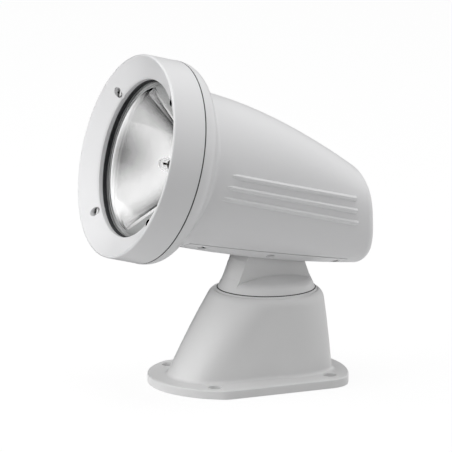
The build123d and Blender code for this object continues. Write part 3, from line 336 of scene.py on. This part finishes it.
def carve(thing: bpy.types.Object, tool: bpy.types.Object, kind: str) -> None:
    """Join or cut a piece with a second shape, which is then thrown away.

    Args:
        thing: the piece that stays.
        tool: the shape it is joined or cut with.
        kind: UNION or DIFFERENCE.
    """
    pick(thing)
    change = thing.modifiers.new("carve", "BOOLEAN")
    change.operation = kind
    change.solver = "EXACT"
    change.object = tool
    bpy.ops.object.modifier_apply(modifier=change.name)
    bpy.data.objects.remove(tool, do_unlink=True)


def smooth(thing: bpy.types.Object, angle: float) -> None:
    """Shade a piece smooth, and keep its sharper edges.

    Args:
        thing: the piece.
        angle: in degrees, past which an edge stays sharp.
    """
    pick(thing)
    bpy.ops.object.shade_smooth_by_angle(angle=math.radians(angle))


def settle(thing: bpy.types.Object, surface: Surface, body: str, node: str) -> None:
    """Dress a finished piece, and let it ride on a body and stand for a CAD node.

    Args:
        thing: the piece.
        surface: its finish.
        body: the moving body it rides on.
        node: the CAD node it replaces.
    """
    thing.data.materials.clear()
    thing.data.materials.append(surface.value.material())
    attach(thing, body)
    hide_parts(node)
    log.info("%s in %s, for %s", thing.name, surface.name.lower(), node)


@dataclass
class SubAssembly:
    """A group of CAD nodes on one lamp, with the finish of each."""

    frame: dict
    title: str = ""
    finishes: dict[str, Surface] = field(default_factory=dict)

    def dress(self) -> None:
        """Give every listed CAD node its finish."""
        for node, surface in self.finishes.items():
            thing = self.frame["nodes"][node]
            thing.data.materials.clear()
            thing.data.materials.append(surface.value.material())
            log.info("%s: %s in %s", self.title, node, surface.name.lower())

    def build(self) -> None:
        """Make no piece: the CAD nodes of this sub-assembly are shown as they are."""


@dataclass
class Pedestal(SubAssembly):
    """Deck pedestal, and the seal round its neck: a white carrier with a black lip.

    Outlines are radius and height above the deck, in millimetres.
    """

    axis: Vector = Vector((0.0, 0.015, 0.0))
    carrier: tuple[tuple[float, float], ...] = (
        (38.95, 69.0), (39.98, 69.0), (39.98, 71.1), (39.8, 71.7), (39.4, 72.25), (38.97, 72.5))
    lip: tuple[tuple[float, float], ...] = (
        (38.66, 71.8), (38.95, 71.8), (38.95, 72.75), (38.75, 73.05), (38.32, 73.05))

    def build(self) -> None:
        """Turn both parts of the seal and seat them round the neck."""
        for name, outline, surface in (("neck_seal_carrier", self.carrier, Surface.PEDESTAL_ASA),
                                       ("neck_seal_lip", self.lip, Surface.RUBBER)):
            ring = lathe(name, list(outline), self.axis, Vector((0, 0, 1)), SIDE)
            smooth(ring, MOULDED_EDGE)
            settle(ring, surface, "base", "neck_seal")


@dataclass
class LensStack(SubAssembly):
    """Bezel, glass, gasket, mirror and bulb, all round the lamp axis.

    Sizes are in millimetres, and ways along the axis count backwards from the bezel's rim.
    """

    rim: Vector = Vector((0.0, -0.1039, 0.1863))
    tilt: float = math.radians(14.8)
    # Mirror: bowl, grooved flange and collar
    apex: float = 57.2
    focal: float = 20.0
    mouth_radius: float = 56.5
    mouth_round: tuple[float, float] = (0.2, 0.15)
    hole_radius: float = 8.8
    wall: float = 1.5
    bowl_rows: int = 40
    bowl_flats: int = 192
    flange_front: float = 17.35
    flange_radius: float = 64.4
    flange_depth: float = 1.9
    flange_root: float = 58.8
    grooves: tuple[tuple[float, float], ...] = ((57.5, 58.4), (60.3, 61.1))
    groove_depth: float = 1.0
    groove_draft: float = 0.1
    lacquer_depth: float = 1.2
    collar_radius: float = 12.5
    collar_end: float = 61.5
    # Straight edges of the mouth: direction in degrees and distance from the axis
    straights: tuple[tuple[float, float], ...] = ((67.9, 47.7), (-59.6, 48.2))
    straight_depth: float = 2.2
    straight_overlap: float = 0.6
    # Bezel screws: the dome's steps are inset and rise
    screw_circle: float = 67.0
    screw_turn: float = 40.1
    screw_twist: float = 0.6
    head_radius: float = 3.45
    head_front: float = 5.4
    head_back: float = 8.0
    head_flats: int = 48
    dome: tuple[tuple[float, float], ...] = ((0.45, 0.35), (0.6, 0.25), (0.8, 0.12))
    drive_turns: tuple[float, float] = (20.0, 110.0)
    drive_length: float = 4.2
    drive_width: float = 0.95
    drive_depth: float = 1.5
    # Painted shade: drive faces this deep below the top, and the dome's outer ring, take the
    # dark steel
    drive_dark: float = 0.35
    drive_margin: float = 0.1
    ring_width: float = 0.5
    ring_slope: float = 0.3
    # Bulb: each turn of the coil is a share of its radius and of its pitch, and the cup's
    # outline is the inset from its radius and the way behind its front
    coil_start: float = 33.6
    coil_end: float = 38.8
    coil_radius: float = 0.75
    coil_core: float = 0.15
    coil_pitch: float = 0.5
    coil_turn: tuple[tuple[float, float], ...] = ((1.0, 0.15), (1.0, 0.6), (0.7, 0.8))
    shield_radius: float = 3.9
    shield_front: float = 38.8
    shield_outline: tuple[tuple[float, float], ...] = (
        (3.7, 0.0), (0.4, 0.0), (0.0, 0.4), (0.0, 2.4), (0.3, 2.4), (0.3, 0.6), (0.6, 0.35),
        (3.7, 0.35))
    bulb_flats: int = 40

    def back(self) -> Vector:
        """Give the lamp axis, towards the rear."""
        return Vector((0.0, math.cos(self.tilt), -math.sin(self.tilt)))

    def up(self) -> Vector:
        """Give the direction square to the lamp axis, upwards."""
        return Vector((0.0, math.sin(self.tilt), math.cos(self.tilt)))

    def facing(self) -> Matrix:
        """Give the turn that points a shape's top out of the lamp's front."""
        return Matrix((SIDE, self.up(), self.back() * -1)).transposed().to_4x4()

    def towards(self, angle: float) -> Vector:
        """Give a direction round the lamp axis.

        Args:
            angle: in degrees, from sideways towards up.

        Returns:
            The direction, of length 1.
        """
        turn = math.radians(angle)
        return SIDE * math.cos(turn) + self.up() * math.sin(turn)

    def bowl_outline(self) -> list[tuple[float, float]]:
        """Draw the mirror's section.

        Returns:
            Corners of bowl, grooved flange, outside wall and collar.
        """
        step = (self.mouth_radius - self.hole_radius) / self.bowl_rows
        radii = [self.hole_radius + step * row for row in range(self.bowl_rows)]
        bowl = [(r, self.apex - r * r / (4 * self.focal)) for r in radii]
        front, end = self.flange_front, self.flange_front + self.flange_depth
        wide, deep = self.mouth_round
        flange = [(self.mouth_radius, front + deep), (self.mouth_radius + wide, front)]
        for start, stop in self.grooves:
            flange += [(start, front), (start + self.groove_draft, front + self.groove_depth),
                       (stop - self.groove_draft, front + self.groove_depth), (stop, front)]
        flange += [(self.flange_radius, front), (self.flange_radius, end),
                   (self.flange_root, end)]
        outside = []
        for r, way in reversed(bowl):
            slope = r / (2 * self.focal)
            length = math.hypot(slope, 1.0)
            spot = (r + self.wall * slope / length, way + self.wall / length)
            if spot[0] > self.collar_radius and spot[1] > end:
                outside.append(spot)
        collar = [(self.collar_radius, outside[-1][1]), (self.collar_radius, self.collar_end),
                  (self.hole_radius, self.collar_end)]
        return bowl + flange + outside + collar

    def straight(self, angle: float, distance: float) -> bpy.types.Object:
        """Make the lip that closes the mouth beyond one straight edge.

        Args:
            angle: direction of the edge from the lamp axis, in degrees from sideways towards up.
            distance: of the edge from the lamp axis, in millimetres.

        Returns:
            The lip as a closed shape.
        """
        deselect_all()
        middle = self.rim + self.back() * ((self.flange_front + self.straight_depth / 2) * MM)
        bpy.ops.mesh.primitive_cylinder_add(
            vertices=ROUND_STEPS, radius=(self.mouth_radius + self.straight_overlap) * MM,
            depth=self.straight_depth * MM)
        lip = bpy.context.object
        lip.data.transform(Matrix.Translation(middle) @ self.facing())
        way = self.towards(angle)
        bpy.ops.object.mode_set(mode="EDIT")
        bpy.ops.mesh.select_all(action="SELECT")
        bpy.ops.mesh.bisect(plane_co=middle + way * (distance * MM), plane_no=way, use_fill=True,
                            clear_inner=True)
        bpy.ops.mesh.select_all(action="SELECT")
        bpy.ops.mesh.normals_make_consistent(inside=False)
        bpy.ops.object.mode_set(mode="OBJECT")
        return lip

    def mirror(self) -> None:
        """Turn the bowl with its flange, and close its mouth beyond the straight edges."""
        bowl = lathe("reflector_bowl", self.bowl_outline(), self.rim, self.back(), self.up(),
                     self.bowl_flats)
        for angle, distance in self.straights:
            carve(bowl, self.straight(angle, distance), "UNION")
        smooth(bowl, CRISP_EDGE)
        settle(bowl, Surface.MIRROR, "lamp_head", "reflector")
        bowl.data.materials.append(Surface.MIRROR_RIM.value.material())
        lacquered = (self.flange_front + self.lacquer_depth) * MM
        for face in bowl.data.polygons:
            in_front = (face.center - self.rim).dot(self.back()) < lacquered
            if in_front and abs(face.normal.dot(self.back())) > FACING:
                face.material_index = 1

    def screw_head(self) -> bpy.types.Object:
        """Make one domed screw head with a cross drive, upright round the origin.

        Returns:
            The head, whose drive and outer ring have material number 1, for painted shade.
        """
        deselect_all()
        bpy.ops.mesh.primitive_cylinder_add(vertices=self.head_flats,
                                            radius=self.head_radius * MM,
                                            depth=(self.head_back - self.head_front) * MM)
        head = bpy.context.object
        bpy.ops.object.mode_set(mode="EDIT")
        bpy.ops.mesh.select_all(action="DESELECT")
        bpy.ops.object.mode_set(mode="OBJECT")
        for face in head.data.polygons:
            face.select = face.normal.z > FACING
        bpy.ops.object.mode_set(mode="EDIT")
        for inset, rise in self.dome:
            bpy.ops.mesh.inset(thickness=inset * MM, depth=rise * MM)
        bpy.ops.object.mode_set(mode="OBJECT")
        top = max(corner.co.z for corner in head.data.vertices)
        size = Matrix.Diagonal((self.drive_length * MM, self.drive_width * MM,
                                2 * self.drive_depth * MM, 1))
        for turn in self.drive_turns:
            bpy.ops.mesh.primitive_cube_add(size=1.0)
            slot = bpy.context.object
            slot.data.transform(Matrix.Translation((0, 0, top))
                                @ Matrix.Rotation(math.radians(turn), 4, "Z") @ size)
            carve(head, slot, "DIFFERENCE")
        smooth(head, CRISP_EDGE)
        # Painted shade: the deep faces of the drive and the outer ring of the dome get the dark
        # steel
        for face in head.data.polygons:
            away = math.hypot(face.center.x, face.center.y) / MM
            in_drive = (face.center.z < top - self.drive_dark * MM
                        and away < self.drive_length / 2 + self.drive_margin)
            in_ring = (face.normal.z > self.ring_slope
                       and away > self.head_radius - self.ring_width)
            face.material_index = 1 if in_ring or in_drive else 0
        return head

    def screws(self) -> None:
        """Copy the screw head to the bezel's four pockets."""
        head = self.screw_head()
        middle = self.rim + self.back() * ((self.head_front + self.head_back) / 2 * MM)
        for number in range(4):
            piece = bpy.data.objects.new(f"bezel_screw_{number + 1}", head.data.copy())
            bpy.context.scene.collection.objects.link(piece)
            angle = 180 - self.screw_turn - 90 * number
            spot = middle + self.towards(angle) * (self.screw_circle * MM)
            piece.data.transform(Matrix.Translation(spot) @ self.facing()
                                 @ Matrix.Rotation(self.screw_twist * number, 4, "Z"))
            settle(piece, Surface.STEEL, "lamp_head", "bezel_screws")
            # The dark steel: painted shade in the drive and round the head
            piece.data.materials.append(Surface.STEEL_DULL.value.material())
        bpy.data.objects.remove(head, do_unlink=True)

    def bulb(self) -> None:
        """Turn the coiled filament and the sheet cup that stands behind it in the bulb."""
        turns = round((self.coil_end - self.coil_start) / self.coil_pitch)
        coil = [(self.coil_core, self.coil_start)]
        for turn in range(turns):
            start = self.coil_start + turn * self.coil_pitch
            coil += [(wide * self.coil_radius, start + way * self.coil_pitch)
                     for wide, way in self.coil_turn]
        coil.append((self.coil_core, self.coil_end))
        cup = [(self.shield_radius - inset, self.shield_front + way)
               for inset, way in self.shield_outline]
        for name, outline, surface in (("filament_coil", coil, Surface.TUNGSTEN),
                                       ("filament_shield", cup, Surface.MOLYBDENUM)):
            piece = lathe(name, outline, self.rim, self.back(), self.up(), self.bulb_flats)
            smooth(piece, SMALL_EDGE)
            settle(piece, surface, "lamp_head", "bulb_filament")

    def build(self) -> None:
        """Make the mirror, the bezel screws and the inside of the bulb."""
        self.mirror()
        self.screws()
        self.bulb()


@dataclass(frozen=True)
class SoftBox:
    """One square studio lamp: its name, place and side in metres, and power in watts."""

    name: str
    place: tuple[float, float, float]
    power: float
    side: float = 1.2


@dataclass
class Studio:
    """Camera, floor, world and lamps: a plain pale room that isn't part of the lamp."""

    # Camera, in degrees and metres
    azimuth: float = 64.84
    elevation: float = 11.65
    distance: float = 4.0
    lens_mm: float = 406.7
    sensor_mm: float = 36.0
    far_clip: float = 100.0
    aim_across: float = -0.03163
    aim: tuple[float, float, float] = (0.0, 0.015, 0.12102)
    # Even light of the room, and the floor
    world_light: float = 0.575
    floor_size: float = 60.0
    floor_gap: float = 0.2
    floor_lift: float = 0.8
    floor_colour: tuple[float, float, float, float] = (0.6, 0.6, 0.6, 1.0)
    floor_glow: float = 1.12
    floor_fall: float = 0.45
    # What metal and glass see: a tent that is dimmer to both sides, a sheet on the floor under
    # the lamp whose front edge lies between two values of y, and a brighter roof behind an edge
    sheet_edge: tuple[float, float] = (-0.40, -0.385)
    sheet_drop: float = 0.16
    mirror_centre: tuple[float, float, float] = (0.0, -0.104, 0.186)
    tent_light: float = 1.62
    tent_fall: float = 2.6
    roof_edge: tuple[float, float, float] = (0.245, 0.918, 0.313)
    roof_blur: float = 0.03
    roof_gain: float = 0.5
    boxes: tuple[SoftBox, ...] = (
        SoftBox("front_box", (-0.1, -2.2, 0.5), 6.2),
        SoftBox("low_front_box", (-0.6, -2.1, 0.25), 5.0, 0.45),
        SoftBox("left_box", (-1.6, -1.5, 1.0), 4.3),
        SoftBox("front_high_box", (-0.3, -1.8, 1.7), 10.1),
        SoftBox("top_box", (0.1, 0.1, 2.3), 12.6))

    def camera(self) -> None:
        """Place the camera at the photograph's viewing angle."""
        turn, rise = math.radians(self.azimuth), math.radians(self.elevation)
        back = Vector((math.sin(turn) * math.cos(rise), -math.cos(turn) * math.cos(rise),
                       math.sin(rise)))
        right = Vector((math.cos(turn), math.sin(turn), 0.0))
        up = back.cross(right)
        eye = bpy.data.cameras.new("photo_camera")
        eye.lens = self.lens_mm
        eye.sensor_width = self.sensor_mm
        eye.clip_end = self.far_clip
        camera = bpy.data.objects.new("photo_camera", eye)
        bpy.context.scene.collection.objects.link(camera)
        place = Vector(self.aim) + right * self.aim_across + back * self.distance
        turned = Matrix((right, up, back)).transposed().to_4x4()
        camera.matrix_world = Matrix.Translation(place) @ turned
        bpy.context.scene.camera = camera

    def fall_off(self, tree: bpy.types.NodeTree,
                 across: bpy.types.NodeSocket) -> bpy.types.NodeSocket:
        """Work out how bright the light tent is towards a side.

        Args:
            tree: the node tree.
            across: the sideways part of a direction.

        Returns:
            The brightness, most straight ahead and less to both sides.
        """
        square = add_node(tree, "ShaderNodeMath", {"operation": "MULTIPLY"},
                          links={0: across, 1: across})
        return add_node(tree, "ShaderNodeMath", {"operation": "MULTIPLY_ADD"},
                        {1: -self.tent_fall, 2: self.tent_light},
                        {0: square.outputs[0]}).outputs[0]

    def world(self) -> None:
        """Light the room evenly, white to the camera and a light tent to metal and glass."""
        world = bpy.data.worlds.new("pale_room")
        bpy.context.scene.world = world
        world.use_nodes = True
        tree = world.node_tree
        tree.nodes.clear()
        path = add_node(tree, "ShaderNodeLightPath")
        mirrored = either(tree, path, "Is Glossy Ray", "Is Transmission Ray")
        way = add_node(tree, "ShaderNodeTexCoord").outputs["Generated"]
        across = add_node(tree, "ShaderNodeSeparateXYZ", links={0: way}).outputs["X"]
        edge = add_node(tree, "ShaderNodeVectorMath", {"operation": "DOT_PRODUCT"},
                        {1: self.roof_edge}, {0: way})
        roof = add_node(tree, "ShaderNodeMapRange",
                        values={"From Min": 0.0, "From Max": self.roof_blur, "To Min": 0.0,
                                "To Max": self.roof_gain},
                        links={"Value": edge.outputs["Value"]})
        tent = add_node(tree, "ShaderNodeMath", {"operation": "ADD"},
                        links={0: self.fall_off(tree, across), 1: roof.outputs[0]})
        soft = add_node(tree, "ShaderNodeBackground",
                        values={"Color": (1, 1, 1, 1), "Strength": self.world_light})
        seen = add_node(tree, "ShaderNodeBackground", values={"Color": (1, 1, 1, 1)},
                        links={"Strength": tent.outputs[0]})
        white = add_node(tree, "ShaderNodeBackground",
                         values={"Color": (1, 1, 1, 1), "Strength": 1.0})
        dull = add_node(tree, "ShaderNodeMixShader",
                        links={0: mirrored, 1: soft.outputs[0], 2: seen.outputs[0]})
        both = add_node(tree, "ShaderNodeMixShader",
                        links={0: path.outputs["Is Camera Ray"], 1: dull.outputs[0],
                               2: white.outputs[0]})
        add_node(tree, "ShaderNodeOutputWorld", links={"Surface": both.outputs[0]})

    def floor_tone(self, tree: bpy.types.NodeTree) -> bpy.types.NodeSocket:
        """Work out how bright the floor looks to metal and glass.

        Args:
            tree: the floor's node tree.

        Returns:
            The tent's brightness in the direction of the mirror, less the sheet's part.
        """
        place = add_node(tree, "ShaderNodeTexCoord").outputs["Object"]
        along = add_node(tree, "ShaderNodeSeparateXYZ", links={0: place}).outputs["Y"]
        away = add_node(tree, "ShaderNodeVectorMath", {"operation": "SUBTRACT"},
                        {1: self.mirror_centre}, {0: place})
        way = add_node(tree, "ShaderNodeVectorMath", {"operation": "NORMALIZE"},
                       links={0: away.outputs[0]})
        parts = add_node(tree, "ShaderNodeSeparateXYZ", links={0: way.outputs[0]})
        low = add_node(tree, "ShaderNodeMath", {"operation": "MULTIPLY_ADD"},
                       {1: self.floor_fall},
                       {0: parts.outputs["Z"], 2: self.fall_off(tree, parts.outputs["X"])})
        start, stop = self.sheet_edge
        sheet = add_node(tree, "ShaderNodeMapRange",
                         values={"From Min": start, "From Max": stop, "To Min": 0.0,
                                 "To Max": -self.sheet_drop}, links={"Value": along})
        return add_node(tree, "ShaderNodeMath", {"operation": "ADD"},
                        links={0: low.outputs[0], 1: sheet.outputs[0]}).outputs[0]

    def floor(self) -> None:
        """Lay a floor that is white to the camera, keeps the shadow and is clear from below."""
        deselect_all()
        bpy.ops.mesh.primitive_plane_add(size=self.floor_size)
        floor = bpy.context.object
        floor.data.transform(Matrix.Translation((0, 0, -self.floor_gap * MM)))
        floor.name = "floor"
        # Matt pale paper that glows a little: white without an edge, with a soft shadow
        material, tree = fresh_material("pale_floor")
        path = add_node(tree, "ShaderNodeLightPath")
        mirrored = either(tree, path, "Is Glossy Ray", "Is Transmission Ray")
        share = add_node(tree, "ShaderNodeMath", {"operation": "MULTIPLY_ADD"},
                         {1: self.floor_lift}, {0: path.outputs["Is Camera Ray"], 2: mirrored})
        glow = add_node(tree, "ShaderNodeMix", {"data_type": "FLOAT"}, {3: self.floor_glow},
                        {0: path.outputs["Is Camera Ray"], 2: self.floor_tone(tree)})
        shine = add_node(tree, "ShaderNodeEmission", values={"Color": (1, 1, 1, 1)},
                         links={"Strength": glow.outputs[0]})
        matt = add_node(tree, "ShaderNodeBsdfDiffuse", values={"Color": self.floor_colour})
        both = add_node(tree, "ShaderNodeMixShader",
                        links={0: share.outputs[0], 1: matt.outputs[0], 2: shine.outputs[0]})
        under = add_node(tree, "ShaderNodeNewGeometry").outputs["Backfacing"]
        clear = add_node(tree, "ShaderNodeBsdfTransparent")
        shown = add_node(tree, "ShaderNodeMixShader",
                         links={0: under, 1: both.outputs[0], 2: clear.outputs[0]})
        add_node(tree, "ShaderNodeOutputMaterial", links={"Surface": shown.outputs[0]})
        floor.data.materials.append(material)

    def hang(self, box: SoftBox) -> None:
        """Hang one soft box that faces the object and doesn't show in metal or glass.

        Args:
            box: the soft box.
        """
        light = bpy.data.lights.new(box.name, "AREA")
        light.size = box.side
        light.energy = box.power
        lamp = bpy.data.objects.new(box.name, light)
        bpy.context.scene.collection.objects.link(lamp)
        lamp.location = box.place
        away = Vector(box.place) - Vector(self.aim)
        lamp.rotation_euler = away.to_track_quat("Z", "Y").to_euler()
        lamp.visible_glossy = False
        lamp.visible_transmission = False

    def build(self) -> None:
        """Set up everything around the lamp."""
        self.camera()
        self.world()
        self.floor()
        for box in self.boxes:
            self.hang(box)
        bpy.context.scene.view_settings.view_transform = "Standard"


def main() -> None:
    """Load the frame, set up the studio, and dress and build every sub-assembly."""
    logging.basicConfig(level=logging.INFO, format="%(message)s")
    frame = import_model()
    Studio().build()
    s = Surface
    groups = [
        Pedestal(frame, "pedestal", {
            "base_housing": s.PEDESTAL_ASA, "deck_gasket": s.RUBBER, "neck_seal": s.RUBBER,
            "thrust_washer": s.ACETAL, "pan_bush": s.ACETAL, "chassis_plate": s.SHEET,
            "chassis_screws": s.STEEL, "pan_motor": s.ZINC, "pan_pinion": s.ACETAL}),
        SubAssembly(frame, "neck", {
            "neck": s.PEDESTAL_ASA, "pan_gear": s.ACETAL, "pan_retainer": s.STEEL,
            "tilt_axle": s.STEEL, "axle_clips": s.STEEL, "tilt_sector": s.ACETAL,
            "sector_screws": s.STEEL}),
        SubAssembly(frame, "head", {
            "head_shell": s.WHITE_ASA, "bottom_cover": s.WHITE_ASA, "cover_screws": s.STEEL,
            "tilt_frame": s.SHEET, "frame_screws": s.STEEL, "tilt_bushes": s.ACETAL,
            "tilt_motor": s.ZINC, "tilt_pinion": s.ACETAL}),
        LensStack(frame, "lens_stack", {
            "bezel": s.WHITE_ASA, "bezel_screws": s.STEEL, "bezel_seal": s.RUBBER,
            "lens_glass": s.LENS, "lens_gasket": s.RUBBER, "reflector": s.MIRROR,
            "bulb_base": s.STEATITE, "bulb_glass": s.QUARTZ, "bulb_filament": s.TUNGSTEN,
            "bulb_clip": s.STEEL}),
    ]
    for group in groups:
        group.dress()
        group.build()


if __name__ == "__main__":
    main()
